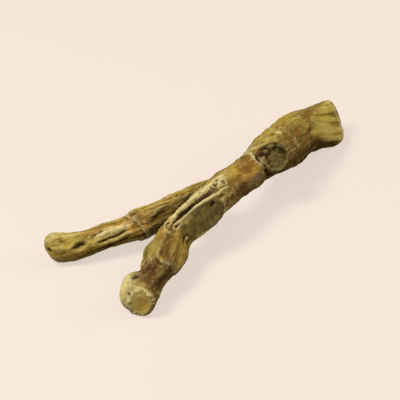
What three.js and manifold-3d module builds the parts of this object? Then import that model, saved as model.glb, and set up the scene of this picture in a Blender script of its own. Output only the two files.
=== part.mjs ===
// Dried rhizome of sweet flag (Acorus calamus): one forked piece, lying on a table.
//
// Millimetres, +Z up, origin on the table under the middle of the piece.
//
// The rhizome is one grown body. Its main stem starts at a shaved butt at the back right, arches
// over a stub where a side shoot was broken off, forks halfway, and ends in a cut knob at the
// front left. The thinner branch runs out to the left from the fork. Torn edges of old leaf
// sheaths ring both, and the roots have left small scars with raised rims. The piece stands on
// three feet: under the butt, under the knob and under the tip of the branch.

import * as THREE from "three";
import { mergeVertices } from "three/addons/utils/BufferGeometryUtils.js";
import Module from "manifold-3d";

const wasm = await Module();
wasm.setup();

const DEG = Math.PI / 180;

// ---- Driving dimensions: mm, and degrees round a stem, where 90 is on top -----------------

// Centre line of the main stem, from the butt to the knob.
const STEM_SPINE = [
  [48.0, 50.0, 6.4],
  [40.4, 42.1, 9.5],
  [32.7, 31.4, 12.3],
  [24.8, 18.7, 14.2],
  [18.2, 9.4, 15.1],
  [13.3, 1.7, 15.2],
  [7.2, -5.5, 15.2],
  [1.2, -13.7, 14.4],
  [-4.7, -20.7, 12.7],
  [-9.1, -25.9, 10.9],
  [-11.2, -32.1, 9.2],
  [-13.8, -39.6, 7.3],
  [-17.9, -47.3, 6.0],
  [-19.7, -54.3, 5.4],
];

// Half thickness of the main stem: [distance along its centre line, radius].
const STEM_GIRTH = [
  [0, 7.2],
  [6, 7.6],
  [16, 8.1],
  [26, 7.6],
  [34, 7.2],
  [43, 7.2],
  [50, 6.4],
  [56, 5.0],
  [64, 4.9],
  [71, 5.3],
  [82, 5.6],
  [91, 4.9],
  [97, 5.4],
  [103, 5.7],
  [109, 5.1],
  [115, 5.0],
  [122, 5.9],
  [127, 5.9],
];

// Height of the lengthwise folds in the stem's dried skin: [distance, height].
const STEM_FOLDS = [
  [0, 0.15],
  [30, 0.25],
  [50, 0.1],
  [66, 0.15],
  [76, 0.25],
  [94, 0.3],
  [106, 0.35],
  [114, 0.35],
  [122, 0.15],
];

// Old leaf sheaths stand proud of the stem up to their torn lower edge. Each thins out upstream
// over its fade length. Its edge wanders to and fro by its ragged length, and slants by its tilt,
// furthest down the stem on the side that faces the front.
const STEM_SHEATHS = [
  { end: 33.5, tilt: 3.5, lift: 0.5, fade: 3, ragged: 0.3 },
  { end: 37, tilt: 3.5, lift: 0.4, fade: 2, ragged: 0.3 },
  { end: 69, tilt: 0, lift: 0.35, fade: 5, ragged: 0.8 },
  { end: 93, tilt: 0, lift: 0.5, fade: 3, ragged: 0.6 },
  { end: 110, tilt: 0, lift: 0.6, fade: 8, ragged: 1 },
];

// A collar is the torn upper edge of a sheath, which thins out downstream.
const STEM_COLLARS = [{ start: 55, lift: 0.9, fade: 4, ragged: 0.8 }];

// Where a shoot dropped off, the stem is flattened and the wound's edge stands up in a rim.
const STEM_SCARS = [{ at: 86, angle: 156, long: 14.5, wide: 8.5, depth: 0.8, rim: 0.7 }];

// Two torn sheath edges run along the stem as ridges, with a deep groove between them.
const STEM_RIDGES = [
  { from: 73, to: 96, angle: 62, turn: 26, wide: 1.6, height: 1.1 },
  { from: 74, to: 95, angle: 88, turn: 12, wide: 1.5, height: -1.2 },
  { from: 72, to: 94, angle: 128, turn: -14, wide: 1.5, height: 0.9 },
];

// The bud beside the knob, bulges under the wound, above the neck and near the butt, two feet.
const STEM_SWELLINGS = [
  { at: 118.6, angle: 22, long: 3, wide: 3.6, height: 2.2 },
  { at: 84, angle: 205, long: 6, wide: 4, height: 0.9 },
  { at: 101, angle: 200, long: 4, wide: 4, height: 0.7 },
  { at: 112, angle: 205, long: 4, wide: 4.5, height: -1.2 },
  { at: 99, angle: 20, long: 4, wide: 4, height: -0.8 },
  { at: 20, angle: 300, long: 7, wide: 5, height: 0.8 },
  { at: 6, angle: 268, long: 6, wide: 5, height: 2 },
  { at: 121, angle: 270, long: 6, wide: 4, height: 0.5 },
];

// Centre line of the branch, from inside the fork to its tip.
const BRANCH_SPINE = [
  [8.5, -4.9, 14.2],
  [3.0, -5.3, 13.4],
  [-3.5, -6.9, 12.1],
  [-12.9, -12.1, 10.0],
  [-21.0, -15.9, 8.4],
  [-30.5, -19.0, 6.4],
  [-39.3, -21.9, 5.1],
  [-49.7, -24.2, 5.0],
];

const BRANCH_GIRTH = [
  [0, 4.0],
  [8, 4.6],
  [16, 4.5],
  [28, 4.1],
  [36, 3.7],
  [44, 4.0],
  [54, 4.7],
  [60, 4.6],
  [64, 3.8],
];

const BRANCH_FOLDS = [
  [0, 0.2],
  [20, 0.4],
  [36, 0.35],
  [44, 0.5],
  [54, 0.25],
  [64, 0.2],
];

const BRANCH_SHEATHS = [
  { end: 19, tilt: 0, lift: 0.3, fade: 4, ragged: 0.6 },
  { end: 33, tilt: 0, lift: 0.7, fade: 6, ragged: 0.5 },
];

const BRANCH_SWELLINGS = [
  { at: 30, angle: 110, long: 5, wide: 2.5, height: 0.5 },
  { at: 52, angle: 80, long: 2.2, wide: 2, height: 0.5 },
  { at: 58, angle: 70, long: 2.5, wide: 2.2, height: 0.7 },
];

// Stub of the broken side shoot: a short boss with a rolled rim round its dished face.
const STUB = { at: 49.5, angle: 146, lean: 0.45, radius: 4.6, height: 1.3, rim: 0.7, dish: 0.9 };

// Root scars: [distance along, angle round, radius]. Most are on the flanks and the underside.
const STEM_ROOTS = [
  [14, 250, 1.3],
  [19, 290, 1.2],
  [35, 250, 1.3],
  [37, 300, 1.2],
  [46, 275, 1.1],
  [59, 62, 1.1],
  [60, 310, 1.3],
  [63, 245, 1.2],
  [71, 285, 1.3],
  [73, 82, 1.3],
  [96, 82, 1.2],
  [95, 106, 1.2],
  [99, 280, 1.2],
  [116, 300, 1],
];

const BRANCH_ROOTS = [
  [22, 255, 1.1],
  [27, 300, 1.0],
  [35, 262, 1.0],
  [43, 280, 1.0],
  [49, 245, 0.9],
  [55, 315, 0.9],
];

// Knife cuts: the butt is shaved along its upper front side, the knob cut across its end.
const BUTT_CUT = { at: 8, angle: 128, depth: 3.6, face: [0.86, -0.21, 0.47] };
const KNOB_CUT = { fromEnd: 2.2, face: [-0.3, -0.95, 0.06] };

// ---- Solids from three.js geometry ---------------------------------------------------------

function solidFrom(geometry) {
  const bare = geometry.clone();
  bare.deleteAttribute("normal");
  bare.deleteAttribute("uv");
  const merged = mergeVertices(bare, 1e-4);
  return new wasm.Manifold(
    new wasm.Mesh({
      numProp: 3,
      vertProperties: merged.attributes.position.array,
      triVerts: new Uint32Array(merged.index.array),
    }),
  );
}

function geometryFrom(solid) {
  const { numProp, numVert, vertProperties, triVerts } = solid.getMesh();
  const positions = new Float32Array(numVert * 3);
  for (let i = 0; i < numVert; i++) {
    positions.set(vertProperties.subarray(i * numProp, i * numProp + 3), i * 3);
  }
  const geometry = new THREE.BufferGeometry();
  geometry.setAttribute("position", new THREE.BufferAttribute(positions, 3));
  geometry.setIndex(new THREE.BufferAttribute(new Uint32Array(triVerts), 1));
  geometry.computeVertexNormals();
  return geometry;
}

// Sets a shape that was modelled round the Y axis down at a point, with its +Y along a direction.
function stand(geometry, point, direction) {
  const up = new THREE.Vector3(0, 1, 0);
  const turn = new THREE.Quaternion().setFromUnitVectors(up, direction.clone().normalize());
  return geometry.applyQuaternion(turn).translate(point.x, point.y, point.z);
}

// A block that fills the outer side of a flat cut through a point.
function beyondCut(point, direction, size = 60) {
  const block = new THREE.BoxGeometry(size, size, size).translate(0, size / 2, 0);
  return solidFrom(stand(block, point, direction));
}

// A turned solid from a [radius, height] profile, standing on a stem's surface. A lean tips it
// toward the far end of the stem.
function turned(profile, segments, on, at, angle, lean = 0) {
  const outline = profile.map(([x, y]) => new THREE.Vector2(x, y));
  const lathe = new THREE.LatheGeometry(outline, segments);
  const axis = on.outward(at, angle * DEG).addScaledVector(on.frame(at).tangent, lean);
  return solidFrom(stand(lathe, on.surface(at, angle * DEG), axis));
}

// ---- Stems: round bodies grown along a centre line -----------------------------------------

// The value at a distance, easing from each [distance, value] point to the next.
function along(points, s) {
  const next = points.findIndex(([at]) => at > s);
  if (next === 0) return points[0][1];
  if (next < 0) return points[points.length - 1][1];
  const [s0, v0] = points[next - 1];
  const [s1, v1] = points[next];
  return THREE.MathUtils.lerp(v0, v1, THREE.MathUtils.smoothstep(s, s0, s1));
}

const bell = (distance, width) => Math.exp(-((distance / width) ** 2));

// The side of a stem that faces the front, turned a little upward.
const FRONT = 130 * DEG;

// How a torn edge wanders to and fro on its way round a stem, from about -1.6 to 1.6.
const wander = (angle) => Math.sin(3 * angle + 1) + 0.6 * Math.sin(7 * angle);

// The shorter way round a stem from one angle to another, in mm.
function roundFrom(angle, other, radius) {
  const turn = angle - other;
  return radius * Math.atan2(Math.sin(turn), Math.cos(turn));
}

class Stem {
  constructor({ spine, ...relief }) {
    const points = spine.map((point) => new THREE.Vector3(...point));
    this.curve = new THREE.CatmullRomCurve3(points, false, "centripetal");
    this.curve.arcLengthDivisions = 800;
    this.length = this.curve.getLength();
    const none = { collars: [], scars: [], ridges: [] };
    this.relief = { ...none, ...relief };
  }

  // The centre line's point and direction at a distance from the start, with the directions of
  // angle 0, to the side, and angle 90, upward.
  frame(s) {
    const u = THREE.MathUtils.clamp(s / this.length, 0, 1);
    const point = this.curve.getPointAt(u);
    const tangent = this.curve.getTangentAt(u);
    const side = tangent.clone().cross(new THREE.Vector3(0, 0, 1)).normalize();
    const up = new THREE.Vector3().crossVectors(side, tangent);
    return { point, tangent, side, up };
  }

  outward(s, angle) {
    const { side, up } = this.frame(s);
    return side.multiplyScalar(Math.cos(angle)).addScaledVector(up, Math.sin(angle));
  }

  radius(s, angle) {
    const { girth, folds, sheaths, collars, swellings, scars, ridges } = this.relief;
    const mean = along(girth, s);
    const wrinkle = Math.cos(6 * angle + 0.05 * s) + 0.6 * Math.cos(9 * angle - 0.08 * s + 1);
    const unevenness = 0.4 * Math.sin(0.19 * s + 2 * angle) + 0.25 * Math.sin(0.31 * s - angle + 1.4);
    let r = mean + unevenness + along(folds, s) * wrinkle;
    for (const { end, tilt, lift, fade, ragged } of sheaths) {
      const before = end + tilt * Math.cos(angle - FRONT) + ragged * wander(angle) - s;
      if (before > 0) r += lift * Math.exp(-before / fade);
    }
    for (const { start, lift, fade, ragged } of collars) {
      const after = s - start - ragged * wander(angle);
      if (after > 0) r += lift * Math.exp(-after / fade);
    }
    for (const { at, angle: middle, long, wide, height } of swellings) {
      r += height * bell(s - at, long) * bell(roundFrom(angle, middle * DEG, mean), wide);
    }
    for (const { at, angle: middle, long, wide, depth, rim } of scars) {
      const round = roundFrom(angle, middle * DEG, mean);
      const out = Math.hypot((s - at) / (long / 2), round / (wide / 2));
      r += rim * bell(out - 1, 0.22) - depth * (1 - THREE.MathUtils.smoothstep(out, 0.6, 1));
    }
    for (const { from, to, angle: start, turn, wide, height } of ridges) {
      const share = (s - from) / (to - from);
      const taper = THREE.MathUtils.clamp(5 * Math.min(share, 1 - share), 0, 1);
      const middle = (start + turn * share) * DEG;
      r += height * taper * bell(roundFrom(angle, middle, mean), wide);
    }
    return r;
  }

  surface(s, angle) {
    return this.frame(s).point.addScaledVector(this.outward(s, angle), this.radius(s, angle));
  }

  // The distances at which the rings of vertices lie: evenly along the stem, closer together
  // round both end caps, and close on both sides of each torn edge.
  stations(step, cap) {
    const { sheaths, collars } = this.relief;
    const rounding = [0, 0.2, 0.45, 0.7, 0.9].map((t) => cap * (1 - Math.cos((t * Math.PI) / 2)));
    const edges = [...sheaths.map(({ end }) => end), ...collars.map(({ start }) => start)];
    const beside = 0.45;
    const straight = this.length - 2 * cap;
    const count = Math.round(straight / step);
    const even = Array.from({ length: count + 1 }, (_, i) => cap + (straight * i) / count);
    return [
      ...rounding,
      ...even.filter((s) => edges.every((edge) => Math.abs(s - edge) > 2 * beside)),
      ...edges.flatMap((edge) => [edge - beside, edge + beside]),
      ...rounding.map((s) => this.length - s),
    ].sort((a, b) => a - b);
  }

  // The rows of a sphere are laid along the centre line, with its poles closing the two ends.
  grow(around, step, cap) {
    const stations = this.stations(step, cap);
    const geometry = new THREE.SphereGeometry(1, around, stations.length - 1);
    const position = geometry.attributes.position;
    for (let i = 0; i < position.count; i++) {
      const s = stations[Math.floor(i / (around + 1))];
      const angle = ((i % (around + 1)) / around) * 2 * Math.PI;
      const inward = 1 - Math.min(s, this.length - s, cap) / cap;
      const reach = this.radius(s, angle) * Math.sqrt(1 - inward ** 2);
      const point = this.frame(s).point.addScaledVector(this.outward(s, angle), reach);
      position.setXYZ(i, point.x, point.y, point.z);
    }
    return solidFrom(geometry);
  }
}

// ---- The piece: grown together, cut at both ends, worn flat where it stands ----------------

const stem = new Stem({
  spine: STEM_SPINE,
  girth: STEM_GIRTH,
  folds: STEM_FOLDS,
  sheaths: STEM_SHEATHS,
  collars: STEM_COLLARS,
  scars: STEM_SCARS,
  ridges: STEM_RIDGES,
  swellings: STEM_SWELLINGS,
});

const branch = new Stem({
  spine: BRANCH_SPINE,
  girth: BRANCH_GIRTH,
  folds: BRANCH_FOLDS,
  sheaths: BRANCH_SHEATHS,
  swellings: BRANCH_SWELLINGS,
});

// Both are rooted this deep in the stem.
const ROOTED = -2;

function stub() {
  const { at, angle, lean, radius, height, rim } = STUB;
  const profile = [
    [0, 2 * ROOTED],
    [radius + 0.6, 2 * ROOTED],
    [radius + 0.4, 0],
    [radius - 0.1, height - 0.3],
    [radius - rim / 2, height],
    [0, height],
  ];
  return turned(profile, 20, stem, at, angle, lean);
}

function stubHollow() {
  const { at, angle, lean, radius, height, rim, dish } = STUB;
  const floor = height - dish;
  const above = height + 3;
  const profile = [
    [0, floor],
    [radius - 1.5 * rim, floor],
    [radius - 0.8 * rim, height],
    [radius - 0.8 * rim, above],
    [0, above],
  ];
  return turned(profile, 20, stem, at, angle, lean);
}

function rootScar(on, [at, angle, radius]) {
  const profile = [
    [0, ROOTED],
    [radius + 0.3, ROOTED],
    [radius, 0.4],
    [radius * 0.6, 0.55],
    [radius * 0.35, 0],
    [0, -0.1],
  ];
  return turned(profile, 8, on, at, angle);
}

// The point on a stem's surface, moved inwards by a depth.
function below(on, at, angle, depth) {
  const inward = on.outward(at, angle * DEG).multiplyScalar(-depth);
  return on.surface(at, angle * DEG).add(inward);
}

const grown = [
  branch.grow(22, 1.8, 3.5),
  stub(),
  ...STEM_ROOTS.map((place) => rootScar(stem, place)),
  ...BRANCH_ROOTS.map((place) => rootScar(branch, place)),
].reduce((body, piece) => body.add(piece), stem.grow(32, 1.8, 4.5));

const buttCut = below(stem, BUTT_CUT.at, BUTT_CUT.angle, BUTT_CUT.depth);
const knobCut = stem.frame(stem.length - KNOB_CUT.fromEnd).point;
const tableTop = new THREE.Vector3(0, 0, 0);

const rhizome = grown
  .subtract(stubHollow())
  .subtract(beyondCut(buttCut, new THREE.Vector3(...BUTT_CUT.face)))
  .subtract(beyondCut(knobCut, new THREE.Vector3(...KNOB_CUT.face)))
  .subtract(beyondCut(tableTop, new THREE.Vector3(0, 0, -1), 200));

const mesh = new THREE.Mesh(
  geometryFrom(rhizome),
  new THREE.MeshStandardMaterial({ color: 0xa88f58, roughness: 0.85, metalness: 0 }),
);
mesh.name = "rhizome";

const group = new THREE.Group();
group.add(mesh);
export default group;
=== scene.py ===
import math

import bmesh
import bpy
import numpy as np
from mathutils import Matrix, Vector, kdtree, noise
from mathutils.geometry import interpolate_bezier


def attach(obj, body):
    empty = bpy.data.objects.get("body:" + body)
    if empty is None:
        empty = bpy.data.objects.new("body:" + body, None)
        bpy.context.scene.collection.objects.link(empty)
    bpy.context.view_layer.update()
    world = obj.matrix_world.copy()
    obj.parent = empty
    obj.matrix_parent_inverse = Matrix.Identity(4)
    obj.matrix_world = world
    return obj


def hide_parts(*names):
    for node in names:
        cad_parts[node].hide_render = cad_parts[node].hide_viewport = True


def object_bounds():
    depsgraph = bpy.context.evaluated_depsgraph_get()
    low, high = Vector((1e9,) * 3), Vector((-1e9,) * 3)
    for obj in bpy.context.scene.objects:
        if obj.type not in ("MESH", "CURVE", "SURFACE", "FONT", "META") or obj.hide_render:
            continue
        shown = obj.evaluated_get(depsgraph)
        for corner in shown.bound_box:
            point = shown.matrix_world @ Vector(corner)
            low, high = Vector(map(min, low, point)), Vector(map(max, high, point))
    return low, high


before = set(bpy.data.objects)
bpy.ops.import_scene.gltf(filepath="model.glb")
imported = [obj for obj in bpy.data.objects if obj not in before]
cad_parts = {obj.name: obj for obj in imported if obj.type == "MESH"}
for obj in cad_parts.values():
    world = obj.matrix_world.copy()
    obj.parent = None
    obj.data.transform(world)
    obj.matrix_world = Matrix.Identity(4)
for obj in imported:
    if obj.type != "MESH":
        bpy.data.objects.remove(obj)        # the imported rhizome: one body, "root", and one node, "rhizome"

cad_low, cad_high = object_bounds()

# ---- Grown body ----------------------------------------------------------------------------
# The whole forked rhizome is one body of shrunken, dried tissue. It starts as a merged copy of
# the CAD solid, remeshed finely enough to hold wrinkles, and smoothed until no facet is left.
MM = 0.001
SKIN_FINENESS = 0.33 * MM

coarse = bmesh.new()
coarse.from_mesh(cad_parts["rhizome"].data)
bmesh.ops.remove_doubles(coarse, verts=coarse.verts, dist=0.001 * MM)
skin = bpy.data.meshes.new("dried_rhizome")
coarse.to_mesh(skin)
coarse.free()
skin.materials.clear()

rhizome = bpy.data.objects.new("dried_rhizome", skin)
bpy.context.collection.objects.link(rhizome)
remesh = rhizome.modifiers.new("fine_skin", "REMESH")
remesh.mode = "VOXEL"
remesh.voxel_size = SKIN_FINENESS
remesh.use_smooth_shade = True
smooth = rhizome.modifiers.new("no_facets", "SMOOTH")
smooth.factor = 0.5
smooth.iterations = 12
finished = rhizome.evaluated_get(bpy.context.evaluated_depsgraph_get())
skin = bpy.data.meshes.new_from_object(finished)
rhizome.modifiers.clear()
rhizome.data = skin
skin.name = "dried_rhizome"
count = len(skin.vertices)


def vertex_vectors(source, field):
    flat = np.empty(count * 3)
    source.foreach_get(field, flat)
    return flat.reshape(-1, 3)


points = vertex_vectors(skin.vertices, "co")
normals = vertex_vectors(skin.vertices, "normal")

# ---- Main stem and branch ------------------------------------------------------------------
# The two grow along curved centre lines, in mm. A place on the skin is told by its distance
# along the line, and by its angle round it, where 90 degrees is on top and about 140 in front.
STEM_LINE = [
    (48.0, 50.0, 6.4), (40.4, 42.1, 9.5), (32.7, 31.4, 12.3), (24.8, 18.7, 14.2),
    (18.2, 9.4, 15.1), (13.3, 1.7, 15.2), (7.2, -5.5, 15.2), (1.2, -13.7, 14.4),
    (-4.7, -20.7, 12.7), (-9.1, -25.9, 10.9), (-11.2, -32.1, 9.2), (-13.8, -39.6, 7.3),
    (-17.9, -47.3, 6.0), (-19.7, -54.3, 5.4),
]
BRANCH_LINE = [
    (8.5, -4.9, 14.2), (3.0, -5.3, 13.4), (-3.5, -6.9, 12.1), (-12.9, -12.1, 10.0),
    (-21.0, -15.9, 8.4), (-30.5, -19.0, 6.4), (-39.3, -21.9, 5.1), (-49.7, -24.2, 5.0),
]
STEM_GIRTH = [
    (0, 7.2), (16, 8.1), (26, 7.6), (34, 7.2), (43, 7.2), (50, 6.4), (56, 5.0), (64, 4.9),
    (71, 5.3), (82, 5.6), (91, 4.9), (97, 5.4), (103, 5.7), (109, 5.1), (115, 5.0), (127, 5.9),
]
BRANCH_GIRTH = [(0, 4.0), (8, 4.6), (28, 4.1), (36, 3.7), (44, 4.0), (54, 4.7), (64, 3.8)]


def centre_line(knots, steps=24):
    knots = [Vector(knot) for knot in knots]
    knots = [2 * knots[0] - knots[1], *knots, 2 * knots[-1] - knots[-2]]
    line = []
    for before, start, stop, after in zip(knots, knots[1:], knots[2:], knots[3:]):
        leaving = start + (stop - before) / 6
        arriving = stop - (after - start) / 6
        line += interpolate_bezier(start, leaving, arriving, stop, steps)[:-1]
    return np.array([*line, knots[-2]])


def unit(vectors):
    return vectors / np.linalg.norm(vectors, axis=1, keepdims=True)


def places_along(knots, girth, points):
    """Distance along, angle round, girth there, and height over that girth."""
    line = centre_line(knots)
    tree = kdtree.KDTree(len(line))
    for i, place in enumerate(line):
        tree.insert(place, i)
    tree.balance()
    nearest = np.array([tree.find(point)[1] for point in points])
    lengths = np.linalg.norm(np.diff(line, axis=0), axis=1)
    travelled = np.concatenate([[0], np.cumsum(lengths)])
    forward = unit(np.gradient(line, axis=0))
    side = unit(np.cross(forward, (0, 0, 1)))
    up = np.cross(side, forward)
    offset = points - line[nearest]
    ahead = (offset * forward[nearest]).sum(1)
    offset -= ahead[:, None] * forward[nearest]
    along = travelled[nearest] + ahead
    angle = np.arctan2((offset * up[nearest]).sum(1), (offset * side[nearest]).sum(1))
    mean = np.interp(along, *zip(*girth))
    return along, angle, mean, np.linalg.norm(offset, axis=1) - mean


on_stem = places_along(STEM_LINE, STEM_GIRTH, points / MM)
on_branch = places_along(BRANCH_LINE, BRANCH_GIRTH, points / MM)
on_branch[3][:] += 6 * np.clip((6 - on_branch[0]) / 6, 0, 1)    # its root is inside the stem
branching = on_branch[3] < on_stem[3]
along, angle, girth, height_over = (
    np.where(branching, b, s) for b, s in zip(on_branch, on_stem)
)
is_arm = {"stem": ~branching, "branch": branching}

# Where the two skins meet, both heights are small, and the pattern of each fades into the fork.
apart = np.clip(np.abs(on_stem[3] - on_branch[3]) / 1.6, 0, 1)


def round_from(degrees):
    """The shorter way round to an angle, in mm."""
    turn = angle - np.radians(degrees)
    return girth * np.arctan2(np.sin(turn), np.cos(turn))


def bell(distance, width):
    return np.exp(-((distance / width) ** 2))


def step(distance, width):
    share = np.clip(distance / width + 0.5, 0, 1)
    return share * share * (3 - 2 * share)


def grain(places, size, seed):
    """Smooth noise over places in mm, with the size of its blotches along each axis."""
    scaled = places / np.array(size) + 13.7 * seed
    return np.array([noise.noise(place) for place in scaled])


TONES = (
    "orange", "plum", "grey", "straw", "dark", "olive", "pale", "brown", "flesh", "plain", "ringed"
)
tones = {name: np.zeros(count) for name in TONES}


def paint(tone, mask):
    tones[tone] = np.maximum(tones[tone], mask)


# ---- Knife cuts ----------------------------------------------------------------------------
# The butt was shaved and the knob cut across when the root was cleaned. The cut tissue is
# yellow and fibrous, and it shrank back from the skin, which stands round it as a pale rim.
BUTT_FACE = np.array([0.86, -0.21, 0.47])
KNOB_FACE = np.array([-0.3, -0.95, 0.06])

# Where each cut is, with a narrow edge in cuts and a wide, soft one in blends. Its plane is
# the level of the flat skin near that end of the stem.
cuts = {}
blends = {}
near_ends = {"butt": step(24 - along, 8), "knob": step(along - 118, 1)}
for name, face in (("butt", BUTT_FACE), ("knob", KNOB_FACE)):
    face = face / np.linalg.norm(face)
    reach = near_ends[name] * is_arm["stem"]
    facing = normals @ face
    level = np.median(points[(reach > 0.5) & (facing > 0.97)] @ face)
    depth = (level - points @ face) / MM
    cuts[name] = reach * step(0.5 - depth, 0.5) * step(facing - 0.8, 0.3)
    blends[name] = reach * step(1.1 - depth, 2.2) * step(facing - 0.3, 0.6)
cut = np.maximum(cuts["butt"], cuts["knob"])

# The skin laid out straight, in mm: along the stem, then across and up. The flat cuts run
# through the inside, so that the fibres there lie along the stem too.
BRANCH_LAID_APART = 300      # so that the branch's pattern isn't the stem's
laid_along = along + BRANCH_LAID_APART * branching
laid_radius = girth + cut * height_over
straight = np.stack([laid_along, laid_radius * np.cos(angle), laid_radius * np.sin(angle)], 1)

# ---- Dried skin ----------------------------------------------------------------------------
# The skin shrank as it dried. It puckered into rounded lengthwise folds with sharp creases
# between them, coarse on the branch and the neck, and fine on the smooth upper internode.
def puckers(length, width, seed):
    """Rounded folds, from 0 in a crease to about 1 on a crest."""
    return np.minimum(np.abs(grain(straight, (length, width, width), seed)) * 2.4, 1)


def along_arm(stem_values, branch_values):
    stem = np.interp(along, *zip(*stem_values))
    branch = np.interp(along, *zip(*branch_values))
    return np.where(branching, branch, stem)


coarse_folds = along_arm(
    [(0, 0.1), (28, 0.12), (40, 0.14), (52, 0.06), (58, 0.03), (68, 0.05), (80, 0.1), (94, 0.08),
     (106, 0.06), (112, 0.18), (118, 0.2), (123, 0.06)],
    [(8, 0.2), (20, 0.3), (32, 0.28), (38, 0.18), (48, 0.12), (53, 0.06), (63, 0.08)],
)
fine_folds = along_arm(
    [(0, 0.08), (28, 0.1), (52, 0.1), (58, 0.03), (66, 0.05), (72, 0.12), (94, 0.13),
     (106, 0.12), (112, 0.2), (118, 0.22), (123, 0.08)],
    [(8, 0.2), (32, 0.2), (38, 0.13), (48, 0.12), (53, 0.08), (63, 0.08)],
)
relief = coarse_folds * (puckers(20, 3.2, 1) - 0.5) * apart
relief += fine_folds * (puckers(9, 1.3, 2) - 0.5) * apart
relief += 0.7 * fine_folds * (puckers(5, 0.7, 3) - 0.5)
relief += 0.22 * grain(points / MM, (4, 4, 4), 4)
relief += 0.1 * grain(points / MM, (1.7, 1.7, 1.7), 5)
relief += 0.08 * grain(points / MM, (0.8, 0.8, 0.8), 15)

# The fork's crotch, where branch and stem meet, is a crease. It is painted dark there as painted
# shade, inside a wider brown band of painted shade.
crotch = step(on_branch[0] - 11, 3) * step(32 - on_branch[0], 3)
crease = crotch * bell(on_stem[3] - on_branch[3], 1.3)
relief -= 0.35 * crease
paint("dark", crease)
paint("brown", crotch * bell(on_stem[3] - on_branch[3], 2.6))

# ---- Growth rings --------------------------------------------------------------------------
# Close-set rings cross the skin beside each node, where the leaves of one year were attached.
# They are fine, uneven wrinkles of the same skin, deepest on the branch.
RINGS = [
    ("stem", 26, 45, 0.07), ("stem", 69, 74, 0.05),
    ("stem", 92, 97, 0.1), ("stem", 116, 121, 0.06),
    ("branch", 14, 20, 0.1), ("branch", 28, 34, 0.14), ("branch", 52, 60, 0.06),
]
for arm, start, stop, depth in RINGS:
    near = np.clip(np.minimum(along - start, stop - along) / 1.5, 0, 1) * is_arm[arm]
    ring = np.minimum(np.abs(grain(straight, (0.8, 6, 6), start)) * 2.4, 1)
    relief += depth * near * (ring - 0.5)

# ---- Leaf sheaths --------------------------------------------------------------------------
# Old leaves clasped the stem and rotted off, leaving their sheaths as thin skins that end in a
# torn edge. The collar over the side shoot is one whose upper edge tore instead. Each has the
# place and tilt of its edge, its thickness, the length over which it thins, and its way.
SHEATHS = [
    ("stem", 35, 2.5, 0.06, 3, 1), ("stem", 71, 0, 0.04, 4, 1), ("stem", 110.5, 0, 0.14, 6, 1),
    ("stem", 55, 0, 0.3, 3, -1), ("branch", 19, 0, 0.06, 3, 1), ("branch", 32.5, 0, 0.2, 5, 1),
]
tatter = 0.8 * grain(straight * (0, 1, 1), (1, 0.9, 0.9), 6)
tatter += 0.5 * grain(straight * (0, 1, 1), (1, 0.4, 0.4), 7)
wander = np.sin(3 * angle + 1) + 0.6 * np.sin(7 * angle)
patchy = step(grain(straight, (2.5, 1, 1), 18) + 0.05, 0.35)
for arm, end, tilt, lift, fade, way in SHEATHS:
    edge = end + tilt * np.cos(angle - math.radians(130)) + 0.6 * wander + tatter
    if arm == "branch" and end > 30:    # the sheath at the knuckle ends in a clean slant
        edge = end + 1.8 * np.cos(angle - math.radians(40)) + 0.5 * tatter
    inside = way * (edge - along)
    strength = is_arm[arm] * apart
    relief += strength * lift * step(inside, 0.5) * np.exp(-np.maximum(inside, 0) / fade)
    relief -= strength * 0.6 * lift * bell(inside + 0.5, 0.35)
    shown = strength * min(1, 3 * lift) * (0.15 + 0.85 * patchy)
    paint("pale", shown * bell(inside - 0.4, 0.5))
    paint("brown", shown * bell(inside + 0.6, 0.5))

# ---- Scar of the dropped shoot -------------------------------------------------------------
# A second shoot dropped off below the fork. Its scar is a long, dull, grey-green oval, mottled,
# flat and nearly free of wrinkles. It has a darker fringe, and a thin shred of pale bark is
# left at its upper end.
WOUND_MIDDLE = 87
WOUND_HALF_LENGTH = 9.3
WOUND_HALF_WIDTH = 3.8
waver = 0.35 * grain(straight, (3, 3, 3), 8)
wound_angle = np.interp(along, [78, 96], [163, 142])
wound_along = np.abs(along - WOUND_MIDDLE) / WOUND_HALF_LENGTH
wound_across = np.abs(round_from(wound_angle)) / WOUND_HALF_WIDTH
wound = (wound_along ** 3 + wound_across ** 3) ** (1 / 3) + 0.1 * waver
in_wound = is_arm["stem"] * step(0.97 - wound, 0.2)
relief = relief * (1 - 0.8 * in_wound) + in_wound * 0.14 * grain(points / MM, (1.8, 1.8, 1.8), 9)
relief += 0.3 * in_wound
mottle = step(grain(points / MM, (1.4, 1.4, 1.4), 23) + 0.1 - 0.3 * step(0.6 - wound, 0.5), 0.5)
paint("grey", in_wound * (0.55 + 0.45 * mottle))
paint("plain", 0.9 * in_wound)
paint("dark", 0.35 * in_wound * step(wound - 0.8 + 0.3 * mottle, 0.4))
paint("brown", 0.6 * is_arm["stem"] * bell(wound - 1.08, 0.08))
wound_top = is_arm["stem"] * step(81 - along, 2) * step(round_from(142), 2) * (along > 74)
paint("pale", wound_top * bell(wound - 1.06, 0.07))
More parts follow.
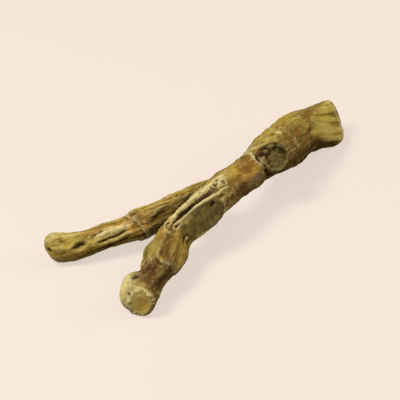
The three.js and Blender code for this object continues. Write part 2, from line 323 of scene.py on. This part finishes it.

# ---- Creases and ridges --------------------------------------------------------------------
# Single long folds: the two pale ridges of torn sheath beside the fork with a groove between
# them, the deep furrows of the branch, and cracks. The grooves and furrows with the dark tone are
# painted dark as painted shade. Each follows (along, angle) points, and then come its half width,
# its height, its tone and how strong the tone is.
FOLDS = [
    ("stem", [(72, 76), (80, 79), (86, 82), (96, 81)], 0.75, 0.3, "ringed", 1.0),
    ("stem", [(73, 80), (79, 82), (84, 84)], 1.4, 0.25, "ringed", 0.9),
    ("stem", [(72, 76), (80, 79), (86, 82), (96, 81)], 0.6, 0.0, "pale", 1.0),
    ("stem", [(73, 50), (80, 57), (87, 64), (95, 63)], 0.9, -0.6, "brown", 1.0),
    ("stem", [(83, 99), (86, 98), (90, 94), (95, 91)], 0.55, -0.6, "dark", 0.85),
    ("stem", [(74, 110), (79, 104), (84.2, 100), (92, 94)], 1.1, -0.35, "grey", 1.0),
    ("stem", [(71, 128), (78, 123), (82.8, 117), (87, 110), (96, 101)], 0.4, 0.5, "pale", 1.0),
    ("stem", [(74, 141), (79, 132), (83, 125), (87, 118), (96, 109)], 0.5, -0.3, "brown", 1.0),
    ("stem", [(92.5, 162), (97, 158), (101, 157)], 0.5, -0.4, "brown", 0.8),
    ("stem", [(98, 120), (104, 114), (109.5, 112)], 0.9, -0.12, "brown", 0.9),
    ("stem", [(99, 98), (105, 95), (110, 88)], 0.6, -0.12, "brown", 0.6),
    ("stem", [(100, 140), (104, 138), (110, 142)], 0.5, -0.12, "brown", 0.4),
    ("stem", [(10, 95), (18, 103), (27, 100)], 1.2, -0.2, "brown", 0.9),
    ("stem", [(14, 75), (22, 82), (30, 84)], 0.7, -0.2, "brown", 0.4),
    ("branch", [(33, 105), (37.7, 98), (41.7, 101), (47, 106)], 0.9, -0.25, "orange", 1.0),
    ("branch", [(34, 122), (38.2, 119), (42.4, 121), (47.5, 127)], 0.8, 0.35, "pale", 1.0),
    ("branch", [(36, 134), (42, 136), (46, 140)], 0.35, -0.3, "brown", 0.8),
    ("branch", [(35.5, 146), (39.4, 149), (42.4, 153), (47.2, 155)], 0.5, -0.6, "dark", 0.9),
    ("branch", [(34, 160), (39.2, 167), (45.5, 174)], 0.7, 0.2, "straw", 0.5),
    ("branch", [(35, 177), (39.6, 190), (44.5, 203)], 0.6, -0.4, "dark", 0.6),
    ("branch", [(44.5, 117), (48.5, 125)], 0.3, -0.2, "brown", 0.6),
    ("branch", [(13, 122), (17, 119), (22.4, 125), (29, 148)], 1.0, -0.5, "dark", 0.6),
    ("branch", [(14, 88), (23, 78), (31, 70)], 0.6, -0.3, "orange", 0.7),
    ("branch", [(18, 102), (25, 99), (31.5, 103)], 0.5, -0.3, "brown", 0.8),
    ("branch", [(20, 91), (30, 92)], 0.7, 0.2, "straw", 0.6),
]
for arm, path, width, height, tone, amount in FOLDS:
    distances, degrees = zip(*path)
    ends = np.clip(np.minimum(along - distances[0], distances[-1] - along) / 2.5, 0, 1)
    beside = round_from(np.interp(along, distances, degrees)) + waver
    mask = ends * bell(beside, width) * is_arm[arm]
    relief += height * mask
    paint(tone, amount * mask)

# Fine rings cross the places marked as ringed, on the broader ridge.
RING_GAP = 1.3
ringed = tones.pop("ringed")
ring_wave = np.cos(along * (2 * math.pi / RING_GAP) + 3 * waver)
relief += 0.16 * ringed * ring_wave
paint("brown", 0.4 * ringed * step(-ring_wave - 0.3, 0.8))

# ---- Scars and pits ------------------------------------------------------------------------
# Each root left a small round scar: a dark groove, open on one side, round a pale point.
# Insects and rot left a few open pits, painted nearly black inside as painted shade. A scar has
# its place and its radius, and a pit its place, length, width, depth and slant.
ROOT_SCARS = {
    "stem": [
        (14, 250, 1.3), (19, 290, 1.2), (35, 250, 1.3), (37, 300, 1.2), (46, 275, 1.1),
        (60, 310, 1.3), (63, 245, 1.2), (71, 285, 1.3), (73.6, 86, 1.2),
        (72, 104, 0.8), (96.8, 88, 1.1), (94.8, 103, 1.0), (99, 280, 1.2), (116, 300, 1.0),
        (24, 215, 1.1), (104, 230, 1.0), (88, 320, 1.1), (52, 330, 1.2),
    ],
    "branch": [
        (22, 255, 1.1), (27, 300, 1.0), (35, 262, 1.0), (43, 280, 1.0), (49, 245, 0.9),
        (55, 315, 0.9), (38, 30, 0.9),
    ],
}
for arm, scars in ROOT_SCARS.items():
    for at, degrees, radius in scars:
        across = round_from(degrees)
        out = np.hypot((along - at) * 0.85, across) + 1.3 * waver
        closed_side = step(np.cos(np.arctan2(across, along - at) + at) + 0.3, 1.2)
        here = is_arm[arm] * (out < 4 * radius)
        groove = here * bell(out - 0.75 * radius, 0.4) * closed_side
        relief += here * 0.12 * bell(out - 1.3 * radius, 0.5) - 0.3 * groove
        relief += here * 0.12 * bell(out, 0.4 * radius)
        paint("brown", groove)
        paint("pale", here * 0.5 * bell(out, 0.4 * radius))
        paint("pale", here * 0.4 * bell(out - 1.4 * radius, 0.4))

PITS = [
    ("stem", 120.3, 66, 1.3, 1.1, 1.4, 0),
    ("stem", 81.3, 138, 1.0, 0.7, 0.8, 0),
    ("branch", 52.2, 147, 2.1, 1.15, 1.8, 0.22),
    ("branch", 61.2, 149, 0.8, 1.2, 1.0, -0.3),
]
for arm, at, degrees, long, wide, depth, slant in PITS:
    across = round_from(degrees) - slant * (along - at) + waver
    out = np.hypot((along - at) / long, across / wide)
    hole = is_arm[arm] * np.exp(-(out ** 4))
    relief -= depth * hole
    paint("dark", hole)
    paint("plain", is_arm[arm] * step(2.6 - out, 1))

# ---- Stub of the side shoot ----------------------------------------------------------------
# A side shoot broke off here and left a short boss. It is a dull, cracked hollow, with a thin
# pale rim towards the butt, and towards the collar the dark shreds and the bulge of its own
# sheath.
STUB_ALONG = 50
STUB_ANGLE = 149
STUB_REACH = 7
stub_along, stub_round = along - STUB_ALONG, round_from(STUB_ANGLE)
stub_out = np.hypot(stub_along, stub_round) + 0.4 * waver
stub_turn = np.degrees(np.arctan2(stub_round, stub_along))
on_stub = is_arm["stem"] * (stub_out < STUB_REACH)


def turned_to(degrees, spread):
    """1 on the part of the stub that faces this way, fading at its ends."""
    away = np.abs((stub_turn - degrees + 180) % 360 - 180)
    return on_stub * step(1 - away / spread, 0.6)


shreds = grain(straight, (1.1, 1.1, 1.1), 19)
for tone in tones:
    tones[tone] *= 1 - on_stub * step(6 - stub_out, 1)
relief += turned_to(185, 60) * 0.2 * bell(stub_out - 4.7, 0.5)
relief += turned_to(-60, 90) * bell(stub_out - 4.3, 1.2) * 0.55 * shreds
relief += on_stub * 0.15 * (puckers(2.5, 1.4, 10) - 0.5) * step(4 - stub_out, 1)
relief -= on_stub * 0.3 * bell(stub_out - 5.7, 0.5)
paint("brown", on_stub * step(6 - stub_out, 1))
paint("grey", on_stub * step(3.9 - stub_out, 0.8))
paint("plain", on_stub * step(4.5 - stub_out, 0.8))
paint("plain", turned_to(-80, 110) * bell(stub_out - 4.5, 2))
paint("plum", turned_to(-110, 90) * bell(stub_out - 4.6, 1.6))
paint("dark", turned_to(-100, 80) * bell(stub_out - 4, 1.2) * step(-shreds, 0.4))
paint("pale", turned_to(185, 55) * bell(stub_out - 4.9, 0.45))
paint("dark", 0.4 * turned_to(100, 50) * step(stub_out - 3.6, 1.2))
paint("dark", 0.7 * turned_to(-127, 60) * bell(stub_out - 4.7, 1))
bulge = on_stub * bell(np.hypot((stub_along - 4.8) / 1.2, (stub_round + 1.8) / 1.3), 1)
relief += 0.3 * bulge
paint("pale", 0.5 * bulge)
paint("orange", 0.6 * bulge)

# ---- Cut faces -----------------------------------------------------------------------------
# The wrinkles stop at the cuts. The butt's face shows its fibres in lengthwise streaks, and a
# pale rim near its end. The knob's holds a round cushion with a puckered border, and beside it
# the pale flesh of the bud.
relief *= 1 - cut
uneven = 0.2 * grain(points / MM, (3, 3, 3), 11) + 0.06 * grain(points / MM, (1, 1, 1), 12)
relief += cut * uneven
across_fibres = np.cross(BUTT_FACE, np.subtract(STEM_LINE[0], STEM_LINE[3]))
across_fibres /= np.linalg.norm(across_fibres)
along_fibres = np.cross(across_fibres, BUTT_FACE)
fibre_run = points @ along_fibres / MM
fibre_row = points @ across_fibres / MM + 0.2 * fibre_run
on_face = np.stack([fibre_run, fibre_row, 0 * along], 1)
fibre = grain(on_face, (18, 1.5, 1), 16) + 0.5 * grain(on_face, (9, 0.7, 1), 22)
relief += cuts["butt"] * 0.25 * fibre

CUSHION = np.array([-18.0, -51.6, 5.7]) * MM
CUSHION_HALF_WIDTH = 4.0
CUSHION_HALF_HEIGHT = 4.6
cushion_right = unit(np.cross((0, 0, 1), KNOB_FACE)[None])[0]
from_cushion = (points - CUSHION) / MM
cushion_across, cushion_up = from_cushion @ cushion_right, from_cushion[:, 2]
wide_share = cushion_across / CUSHION_HALF_WIDTH
high_share = cushion_up / CUSHION_HALF_HEIGHT
cushion_turn = np.arctan2(high_share, wide_share)
circle = np.stack([np.cos(cushion_turn), np.sin(cushion_turn), 0 * cushion_turn], 1)
pucker = grain(circle, 0.22, 20)
cushion_out = np.hypot(wide_share, high_share) + 0.12 * pucker
on_knob = is_arm["stem"] * (along > 116)
cut_side = step(normals @ KNOB_FACE - 0.35, 0.4)
border = on_knob * bell(cushion_out - 1, 0.13) * step(on_stem[0] - 120, 3) * cut_side
relief += border * (0.25 + 0.5 * pucker)
relief += cuts["knob"] * 0.3 * step(0.95 - cushion_out, 0.5)
from_bud = np.hypot((cushion_across + 5) / 3.2, (cushion_up - 1) / 5)
bud = on_knob * bell(from_bud, 1) * step(on_stem[0] - 119, 4)
relief += 0.9 * bud
for tone in tones:
    tones[tone] *= 1 - np.maximum(cuts["knob"], 0.9 * blends["butt"])
paint("flesh", np.maximum(0.6 * cuts["knob"], blends["butt"]))
paint("straw", cuts["knob"])
paint("plain", np.maximum(0.8 * cuts["knob"], 0.7 * blends["butt"]))
shaved = cuts["butt"] > 0.5
from_middle = fibre_row - np.median(fibre_row[shaved])
upper = step(from_middle, 6)
paint("brown", blends["butt"] * step(-fibre - 0.1, 0.4) * (0.5 + 0.3 * upper))
paint("pale", blends["butt"] * step(fibre - 0.1, 0.4) * (0.35 - 0.25 * upper))
paint("orange", cuts["knob"] * 0.5 * step(0.65 - cushion_out, 0.6))
paint("pale", cuts["knob"] * 0.7 * step(cushion_out - 1, 0.15))
lumps = cuts["knob"] * step(grain(points / MM, (1.6, 1.6, 1.6), 21) - 0.1, 0.3)
paint("pale", 0.5 * lumps * step(cushion_out - 0.5, 0.4))
paint("pale", np.maximum(border * step(pucker + 0.15, 0.4), 0.9 * bud))
KNOB_SPOTS = [(-3.7, 2.6, 0.55), (-4.8, -3.9, 0.8), (-3.9, -4.3, 0.6)]
for spot_across, spot_up, spot_size in KNOB_SPOTS:
    from_spot = np.hypot(cushion_across - spot_across, cushion_up - spot_up)
    spot = on_knob * bell(from_spot, spot_size)
    relief -= 0.4 * spot
    paint("dark", 0.8 * spot)
paint("brown", 0.8 * border * step(-pucker - 0.1, 0.3))
rim_run = fibre_run[shaved].max() - 2.1 - 0.05 * from_middle ** 2
rim = blends["butt"] * bell(fibre_run - rim_run + 0.5 * waver, 0.9)
relief += 0.2 * rim
paint("pale", 0.9 * rim)

# ---- Skin at its final shape ---------------------------------------------------------------
# The relief moves the skin out and in, by up to 1.8 mm in the pits. The three feet stay flat on
# the table. Then the scar sinks, the branch's tip gets its slant and the butt's shoulder fades.
edge_ends = np.empty(len(skin.edges) * 2, dtype=int)
skin.edges.foreach_get("vertices", edge_ends)
first, second = edge_ends.reshape(-1, 2).T
links = np.bincount(first, minlength=count) + np.bincount(second, minlength=count)


def evened(values, rounds):
    """Each point's values, one row a point, averaged with its neighbours' again and again."""
    for _ in range(rounds):
        sums = [
            np.bincount(first, column[second], count) + np.bincount(second, column[first], count)
            for column in values.T
        ]
        values = np.stack(sums, 1) / links[:, None]
    return values


resting = step(-normals[:, 2] - 0.9, 0.1) * step(0.5 * MM - points[:, 2], 0.4 * MM)
relief *= 1 - resting
points = points + normals * (relief * MM)[:, None]

# The tissue under the dropped shoot's scar sank, which left the scar nearly flat.
wound_face = in_wound > 0.5
wound_centre = points[wound_face].mean(0)
wound_facing = unit(normals[wound_face].mean(0)[None])[0]
sunk = 0.55 * in_wound * ((points - wound_centre) @ wound_facing)
points -= sunk[:, None] * wound_facing

# The branch ends in a slant: its tip reaches farther on the upper side.
TIP_SLANT = 0.35
tip_ahead = unit((np.subtract(BRANCH_LINE[-1], BRANCH_LINE[-2]) * (1, 1, 0))[None])[0]
above_middle = (girth + height_over) * np.cos(angle - math.radians(105))
slanting = branching * step(along - 57, 8) * above_middle
points += (TIP_SLANT * MM * slanting)[:, None] * tip_ahead

# The shaved face runs out into the skin without an edge, and nothing sinks below the table.
shoulder = is_arm["stem"] * bell(along - 15, 7) * step(18 - np.abs(round_from(120)), 4)
points += shoulder[:, None] * (evened(points, 160) - points)
points[:, 2] = np.maximum(points[:, 2], 0)
skin.vertices.foreach_set("co", points.ravel())
skin.update()
normals = vertex_vectors(skin.vertices, "normal")

# How far each point lies below its surroundings, near and wide: below 0 on a crest, above 0 in
# a crease. These drive the painted highlight on the crests and the painted shade in creases and
# hollows, and the fresh flesh of the knob gets less of that painted shade.
NEAR_DEPTH = 0.14 * MM
WIDE_DEPTH = 0.9 * MM
near_hollow = ((evened(points, 10) - points) * normals).sum(1) / NEAR_DEPTH
wide_hollow = ((evened(points, 70) - points) * normals).sum(1) / WIDE_DEPTH
fresh = on_knob * step(on_stem[0] - 119, 3)
near_hollow *= 1 - 0.5 * fresh
wide_hollow *= 1 - 0.8 * fresh

# ---- Stains of the skin, and painted shade low on the butt ---------------------------------
# Weather and soil coloured the internodes differently. Each stain is a soft patch with its
# middle along and round the arm, its length, its width and its strength. A few brown and dark
# patches low on the butt are painted shade, not stain. The cut faces are newer than any stain
# and stay nearly free of it.
STAINS_AND_SHADE = {
    ("stem", "plain"): [
        (24, 125, 24, 17, 0.6), (63, 120, 7, 12, 0.7), (104, 110, 9, 16, 0.8),
        (115, 120, 5, 10, 0.9), (121, 30, 6, 8, 0.8),
    ],
    ("stem", "olive"): [
        (30, 150, 5, 4, 0.7), (54, 55, 5, 4, 0.8), (57, 60, 3, 4, 0.9), (105, 45, 5, 4, 0.6),
        (113.5, 150, 5, 5, 1.0),
    ],
    ("stem", "straw"): [
        (28, 78, 9, 4, 0.4), (36, 90, 4, 2.5, 0.4), (42, 75, 7, 4, 0.5), (60, 166, 4, 3, 0.9),
        (61, 130, 4, 3, 0.9), (64, 85, 6, 2, 0.5), (67, 108, 3, 1.5, 0.7), (93, 92, 5, 4, 0.5),
        (103, 72, 6, 3, 0.4), (103, 148, 6, 2, 0.5), (103, 165, 6, 2, 0.6), (121, 20, 5, 5, 1.0),
    ],
    ("stem", "flesh"): [
        (27, 142, 5, 4, 0.6),
    ],
    ("stem", "orange"): [
        (55.5, 160, 1.5, 5, 1.0), (60, 142, 6, 6, 0.75), (101, 150, 6, 3, 0.35),
    ],
    ("stem", "brown"): [
        # The patches at 22 and 45 along, at 200 and 195 degrees, and at 35 along, 158 degrees, are painted
        # shade under the butt and beside the stub. The one at 37 along, 122 degrees is partly brown skin and
        # partly painted shade.
        (17, 102, 5, 1.8, 0.9), (22, 104, 6, 2.6, 1.0), (22, 200, 20, 6, 1.0),
        (24, 118, 4, 2, 0.7), (27, 122, 4, 3, 0.5), (35, 158, 7, 5, 0.8), (37, 122, 6, 4, 0.85),
        (45, 195, 10, 5, 1.0), (56.5, 128, 2, 2, 0.5), (59.8, 96, 3.4, 2.4, 0.9),
        (60.5, 122, 2.5, 1.2, 0.9), (66, 187, 9, 3.6, 1.0), (66.5, 132, 2.5, 1.4, 0.8),
        (67, 170, 4, 3, 1.0), (71, 155, 5, 4, 0.9), (104, 102, 6, 3.2, 0.8),
        (121, 112, 3.5, 5, 0.9), (122, 230, 6, 7, 0.6), (123.6, 82, 1.6, 2.2, 0.9),
    ],
    ("stem", "plum"): [
        (55, 112, 2, 2, 0.7), (63, 192, 8, 3, 0.6), (101, 93, 2.5, 0.6, 0.6),
        (104, 106, 2.4, 0.6, 0.8), (107, 95, 1.2, 0.8, 0.8), (108, 120, 1.3, 1, 0.8),
        (112, 122, 2.2, 4.5, 0.55), (116, 84, 6, 4, 1.0), (118, 140, 4, 3, 0.7),
        (119, 118, 4, 4, 0.9),
    ],
    ("stem", "pale"): [
        (39.2, 89, 0.7, 1.5, 0.8), (51.5, 60, 2, 2, 0.7), (60, 172, 3.4, 2, 0.25),
        (74, 82, 4, 2, 0.75), (95.2, 167, 0.8, 0.9, 0.7), (122.5, 15, 4.5, 5, 0.9),
    ],
    ("stem", "dark"): [
        # The two dark patches at 215 degrees, 26 and 44 along, are painted shade under the butt.
        (26, 215, 16, 6, 0.55), (44, 215, 12, 5, 0.5), (57, 78, 1.5, 1.5, 0.3),
        (112, 128, 2, 4, 0.35), (113, 90, 2, 6, 0.35),
    ],
    ("branch", "plain"): [
        (22, 100, 10, 10, 0.5), (41, 120, 9, 10, 0.6),
    ],
    ("branch", "straw"): [
        (22, 75, 9, 4, 0.6), (43, 178, 12, 3.6, 0.9), (58, 130, 8, 9, 0.6),
    ],
    ("branch", "orange"): [
        (33, 142, 3, 3, 1.0), (40, 95, 9, 1.6, 0.9),
    ],
    ("branch", "brown"): [
        (17, 110, 5, 3, 0.5), (20, 166, 6.5, 3, 0.9), (26, 135, 5, 2.5, 0.7),
        (32, 100, 1.6, 3.2, 0.7), (45, 228, 14, 3, 0.6), (60, 110, 2.5, 2.5, 0.4),
    ],
    ("branch", "pale"): [
        (40, 120, 6, 1.2, 0.8),
    ],
    ("branch", "dark"): [
        (22, 150, 5, 2, 0.4), (32, 106, 1.4, 3, 0.4),
    ],
}
blotch = grain(points / MM, (3, 3, 3), 14)
fleck = grain(points / MM, (1.2, 1.2, 1.2), 17)
bark = 1 - np.maximum(cuts["knob"], blends["butt"] * (0.95 - 0.6 * upper))
for (arm, tone), stains_and_shade in STAINS_AND_SHADE.items():
    for at, degrees, long, wide, amount in stains_and_shade:
        out = np.hypot((along - at) / long, round_from(degrees) / wide)
        mask = step(1 - out + 0.5 * blotch + 0.6 * fleck, 0.8)
        paint(tone, amount * mask * is_arm[arm] * bark)

values = {**tones, "near_hollow": near_hollow, "wide_hollow": wide_hollow}
for name, value in values.items():
    layer = skin.attributes.new(name, "FLOAT", "POINT")
    layer.data.foreach_set("value", value.astype(np.float32))
layer = skin.attributes.new("straight", "FLOAT_VECTOR", "POINT")
layer.data.foreach_set("vector", straight.astype(np.float32).ravel())

# ---- Finish of the skin --------------------------------------------------------------------
# A dull, slightly waxy bark, khaki and olive, streaked lengthwise, with stain patches, scars and
# cuts over it. The crests are lightened as a painted highlight, and the creases and hollows are
# darkened to brown and nearly black as painted shade.
finish = bpy.data.materials.new("dried_rhizome_skin")
finish.use_nodes = True
tree = finish.node_tree
tree.nodes.clear()


def node(kind, inputs=None, **settings):
    made = tree.nodes.new(kind)
    for name, value in settings.items():
        setattr(made, name, value)
    for socket, value in (inputs or {}).items():
        if isinstance(value, bpy.types.NodeSocket):
            tree.links.new(value, made.inputs[socket])
        else:
            made.inputs[socket].default_value = value
    return made


def layer_value(name):
    return node("ShaderNodeAttribute", attribute_name=name).outputs["Fac"]


def times(first_value, second_value):
    inputs = {0: first_value, 1: second_value}
    return node("ShaderNodeMath", inputs, operation="MULTIPLY").outputs[0]


def plus(first_value, second_value):
    return node("ShaderNodeMath", {0: first_value, 1: second_value}, operation="ADD").outputs[0]


def span(value, low, high, to_low=0.0, to_high=1.0):
    limits = {"From Min": low, "From Max": high, "To Min": to_low, "To Max": to_high}
    return node("ShaderNodeMapRange", {"Value": value, **limits}).outputs[0]


def mixed(amount, under, over):
    inputs = {0: amount, 6: under, 7: over}
    return node("ShaderNodeMix", inputs, data_type="RGBA").outputs[2]


def speckle(vector, scale, detail=4.0, roughness=0.6):
    inputs = {"Vector": vector, "Scale": scale, "Detail": detail, "Roughness": roughness}
    return node("ShaderNodeTexNoise", inputs).outputs["Fac"]


laid_out = node("ShaderNodeAttribute", attribute_name="straight").outputs["Vector"]
fibres = node("ShaderNodeMapping", {"Vector": laid_out, "Scale": (0.14, 1.0, 1.0)}).outputs[0]
short_fibres = node("ShaderNodeMapping", {"Vector": laid_out, "Scale": (0.5, 1.0, 1.0)}).outputs[0]
across = node("ShaderNodeMapping", {"Vector": laid_out, "Scale": (1.0, 0.25, 0.25)}).outputs[0]
metres = node("ShaderNodeTexCoord").outputs["Object"]
solid = node("ShaderNodeMapping", {"Vector": metres, "Scale": (1000, 1000, 1000)}).outputs[0]

KHAKI = (0.28, 0.19, 0.034, 1)
OLIVE = (0.18, 0.135, 0.024, 1)
LIGHT = (0.48, 0.40, 0.165, 1)
RUSSET = (0.17, 0.095, 0.015, 1)
UMBER = (0.13, 0.068, 0.009, 1)
HOLLOW_SHADE = (0.055, 0.027, 0.003, 1)
NEAR_BLACK = (0.014, 0.008, 0.001, 1)
TONE_COLOURS = {
    "flesh": (0.55, 0.405, 0.062, 1),
    "olive": (0.11, 0.085, 0.013, 1),
    "straw": (0.41, 0.30, 0.055, 1),
    "orange": (0.36, 0.175, 0.022, 1),
    "brown": (0.14, 0.066, 0.009, 1),
    "plum": (0.062, 0.026, 0.009, 1),
    "grey": (0.112, 0.091, 0.027, 1),
    "pale": (0.56, 0.48, 0.23, 1),
}

broad = speckle(solid, 0.28, 3)
streaks = speckle(fibres, 0.8, 4, 0.6)
thin_streaks = speckle(fibres, 2.4, 4, 0.7)
flecks = speckle(short_fibres, 0.9, 3, 0.6)
patches = speckle(short_fibres, 0.4, 3, 0.6)
dust = speckle(solid, 2.2, 5, 0.7)
grit = speckle(solid, 0.6, 4, 0.65)
rough = span(layer_value("plain"), 0, 1, 1, 0.25)

colour = mixed(span(broad, 0.35, 0.62), OLIVE, KHAKI)
colour = mixed(span(grit, 0.5, 0.66, 0, 0.7), colour, UMBER)
colour = mixed(span(patches, 0.5, 0.6, 0, 0.8), colour, RUSSET)
colour = mixed(times(rough, span(streaks, 0.5, 0.68, 0, 0.55)), colour, LIGHT)
colour = mixed(times(rough, span(streaks, 0.48, 0.32, 0, 0.65)), colour, UMBER)
for name, tone in TONE_COLOURS.items():
    weight = times(layer_value(name), span(dust, 0.25, 0.6, 0.7, 1.0))
    colour = mixed(weight, colour, tone)
scaly = span(layer_value("plain"), 0, 0.6, 1, 0)
colour = mixed(times(scaly, span(flecks, 0.53, 0.63, 0, 0.6)), colour, LIGHT)
colour = mixed(times(rough, span(flecks, 0.47, 0.37, 0, 0.8)), colour, UMBER)
colour = mixed(times(rough, span(thin_streaks, 0.52, 0.72, 0, 0.5)), colour, UMBER)
colour = mixed(span(dust, 0.5, 0.7, 0, 0.45), colour, UMBER)
near = layer_value("near_hollow")
# Painted highlight: the crests are lightened.
colour = mixed(times(rough, span(near, -0.25, -1.2, 0, 0.5)), colour, LIGHT)
# Painted shade: creases and wide hollows are darkened to brown and then nearly black.
colour = mixed(span(near, 0.1, 0.9, 0, 0.8), colour, HOLLOW_SHADE)
colour = mixed(span(near, 0.9, 1.8, 0, 0.9), colour, NEAR_BLACK)
colour = mixed(span(layer_value("wide_hollow"), 0.15, 0.6, 0, 0.7), colour, HOLLOW_SHADE)
colour = mixed(span(layer_value("wide_hollow"), 0.5, 1.1, 0, 0.9), colour, NEAR_BLACK)
# The dark tone: real dark spots, shreds and fringes, and painted shade in the fork's crease, the dark
# furrows, the pits and low on the butt.
colour = mixed(times(layer_value("dark"), 0.92), colour, NEAR_BLACK)

bumps = plus(times(times(thin_streaks, rough), 0.8), times(dust, 0.7))
bumps = plus(bumps, times(speckle(across, 2.0, 3), 0.3))
fine_relief = node("ShaderNodeBump", {"Strength": 0.8, "Distance": 0.2 * MM, "Height": bumps})

surface = node("ShaderNodeBsdfPrincipled", {
    "Base Color": colour,
    "Roughness": span(dust, 0.3, 0.7, 0.55, 0.85),
    "Specular IOR Level": 0.07,
    "Normal": fine_relief.outputs[0],
})
node("ShaderNodeOutputMaterial", {"Surface": surface.outputs[0]})
skin.materials.append(finish)

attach(rhizome, "root")
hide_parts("rhizome")

# ---- Floor, light and camera ---------------------------------------------------------------
# A plain pale floor under a large soft lamp from the upper left and a weaker one from the
# right, in a dim, pale room. The floor glows for the camera alone, and keeps a soft shadow.
FLOOR_HALF_SIDE = 3
FLOOR_SEEN = (0.8, 0.69, 0.6, 1)
FLOOR_GLOW = (0.845, 0.737, 0.648, 1)
GLOW_SHARE = 0.82
FLOOR_UNSEEN = (0.24, 0.2, 0.16, 1)      # what it sends back to the piece
ROOM_COLOUR = (1.0, 0.88, 0.62, 1)
ROOM_STRENGTH = 0.22

floor_shape = bmesh.new()
bmesh.ops.create_grid(floor_shape, x_segments=1, y_segments=1, size=FLOOR_HALF_SIDE)
floor_mesh = bpy.data.meshes.new("floor")
floor_shape.to_mesh(floor_mesh)
floor_shape.free()
floor = bpy.data.objects.new("floor", floor_mesh)
bpy.context.collection.objects.link(floor)
plaster = bpy.data.materials.new("pale_floor")
plaster.use_nodes = True
tree = plaster.node_tree
tree.nodes.clear()
seen = node("ShaderNodeLightPath").outputs["Is Camera Ray"]
matt = node("ShaderNodeBsdfDiffuse", {"Color": mixed(seen, FLOOR_UNSEEN, FLOOR_SEEN)})
glow = node("ShaderNodeEmission", {"Color": FLOOR_GLOW, "Strength": 1.0})
shares = {0: times(seen, GLOW_SHARE), 1: matt.outputs[0], 2: glow.outputs[0]}
shown = node("ShaderNodeMixShader", shares)
node("ShaderNodeOutputMaterial", {"Surface": shown.outputs[0]})
floor_mesh.materials.append(plaster)

world = bpy.data.worlds.new("pale_room")
world.use_nodes = True
room_light = world.node_tree.nodes["Background"]
room_light.inputs["Color"].default_value = ROOM_COLOUR
room_light.inputs["Strength"].default_value = ROOM_STRENGTH
bpy.context.scene.world = world

middle = (Vector(cad_low) + Vector(cad_high)) / 2


def soft_lamp(name, place, size, power):
    light = bpy.data.lights.new(name, "AREA")
    light.size = size
    light.energy = power
    lamp = bpy.data.objects.new(name, light)
    lamp.location = place
    lamp.rotation_euler = (middle - Vector(place)).to_track_quat("-Z", "Y").to_euler()
    bpy.context.collection.objects.link(lamp)


soft_lamp("key", (-0.45, -0.22, 0.75), 0.3, 11.2)
soft_lamp("fill", (0.68, 0.05, 0.55), 0.5, 4.0)

# The camera looks down from the front at the piece, with a long lens.
ELEVATION = math.radians(35)
DISTANCE = 0.62
FRAME_WIDTH = 0.131
AIM = Vector((-0.0004, -0.0022, 0.009))
camera_data = bpy.data.cameras.new("camera")
camera_data.lens = camera_data.sensor_width * DISTANCE / FRAME_WIDTH
camera_data.clip_start = 0.01
camera = bpy.data.objects.new("camera", camera_data)
camera.location = AIM + DISTANCE * Vector((0, -math.cos(ELEVATION), math.sin(ELEVATION)))
camera.rotation_euler = (math.radians(90) - ELEVATION, 0, 0)
bpy.context.collection.objects.link(camera)
bpy.context.scene.camera = camera
bpy.context.scene.view_settings.view_transform = "Standard"
